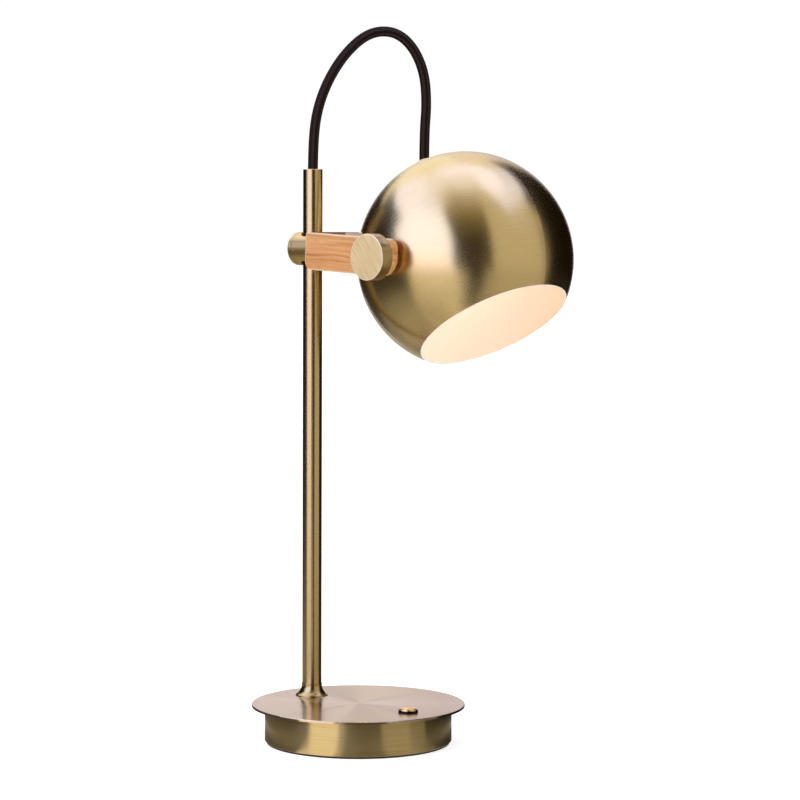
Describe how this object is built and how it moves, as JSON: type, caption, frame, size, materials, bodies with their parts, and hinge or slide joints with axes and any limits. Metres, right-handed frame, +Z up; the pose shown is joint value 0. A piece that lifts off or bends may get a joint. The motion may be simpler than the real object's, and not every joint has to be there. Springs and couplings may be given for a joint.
{
  "type": "cordless table lamp",
  "caption": "Table lamp with a round weighted base, side post, sliding wooden arm and a tilting ball shade; push button on the base, no mains cord.",
  "frame": {"origin": "centre of the base's underside, on the table", "axes": "+Z up; +X from the post to the shade, along the arm; the tilt knob faces -Y"},
  "size_m": [0.1836, 0.2252, 0.5052],
  "materials": {
    "brushed_brass": "brushed",
    "turned_brass": "turned",
    "dark_steel": "satin",
    "plain_steel": "plain",
    "bulb_metal": "plain",
    "cast_ballast": "rough",
    "black_rubber": "matte",
    "black_plastic": "satin",
    "board_plastic": "satin",
    "white_plastic": "gloss",
    "battery_wrap": "satin",
    "lead_jacket": "matte",
    "fibre": "matte",
    "pale_wood": "oiled",
    "braided_cord": "braided",
    "frosted_glass": "frosted"
  },
  "bodies": {
    "base": {"base_disc": "brushed_brass", "base_drum": "brushed_brass", "foot_pad": "black_rubber", "bottom_cover": "plain_steel", "cover_screws": "plain_steel", "ballast_plate": "cast_ballast", "battery_pack": "battery_wrap", "control_board": "board_plastic", "board_spacers": "white_plastic", "board_screws": "plain_steel", "push_switch": "black_plastic", "socket_board": "board_plastic", "usb_socket": "plain_steel", "button_bezel": "black_plastic", "post_collar": "brushed_brass", "post_tube": "brushed_brass", "post_nipple": "turned_brass", "post_washer": "plain_steel", "post_nut": "plain_steel", "end_bush": "black_rubber", "post_lead": "lead_jacket", "shade_cord": "braided_cord"},
    "liner": {"clamp_liner": "black_plastic"},
    "arm": {"clamp_body": "brushed_brass", "arm_spine": "dark_steel", "spine_tip": "brushed_brass", "spine_screws": "plain_steel", "nose_screws": "plain_steel", "wood_arm": "pale_wood", "tilt_bush": "turned_brass", "friction_washer": "fibre"},
    "lock_knob": {"clamp_knob": "brushed_brass"},
    "knob": {"tilt_knob": "brushed_brass"},
    "shade": {"tilt_spindle": "brushed_brass", "shade_shell": "brushed_brass", "spindle_pad": "fibre", "spindle_nut": "plain_steel", "cord_gland": "brushed_brass", "gland_nut": "plain_steel", "holder_cup": "turned_brass", "ring_nut": "turned_brass", "holder_core": "white_plastic", "bulb_cap": "bulb_metal", "bulb_glass": "frosted_glass"},
    "button": {"button_cap": "brushed_brass"}
  },
  "joints": [
    {"name": "arm_height", "type": "slide", "parent": "base", "child": "liner", "axis": [0, 0, 1], "range_m": [-0.06, 0.035], "deforming": ["shade_cord"]},
    {"name": "arm_swivel", "type": "hinge", "parent": "liner", "child": "arm", "pos_m": [-0.048, 0, 0.3468], "axis": [0, 0, 1], "range_deg": [-90, 90], "deforming": ["shade_cord"]},
    {"name": "clamp_lock", "type": "hinge", "parent": "arm", "child": "lock_knob", "pos_m": [-0.048, 0, 0.3468], "axis": [1, 0, 0], "range_deg": [-90, 90]},
    {"name": "tilt_lock", "type": "hinge", "parent": "arm", "child": "knob", "pos_m": [0.0318, 0, 0.3414], "axis": [0, 1, 0], "range_deg": [-90, 90]},
    {"name": "shade_tilt", "type": "hinge", "parent": "arm", "child": "shade", "pos_m": [0.0318, 0, 0.3414], "axis": [0, -1, 0], "range_deg": [-60, 60], "deforming": ["shade_cord"]},
    {"name": "button_press", "type": "slide", "parent": "base", "child": "button", "axis": [0, 0, -1], "range_m": [0, 0.001], "stiffness_N_per_m": 400}
  ]
}
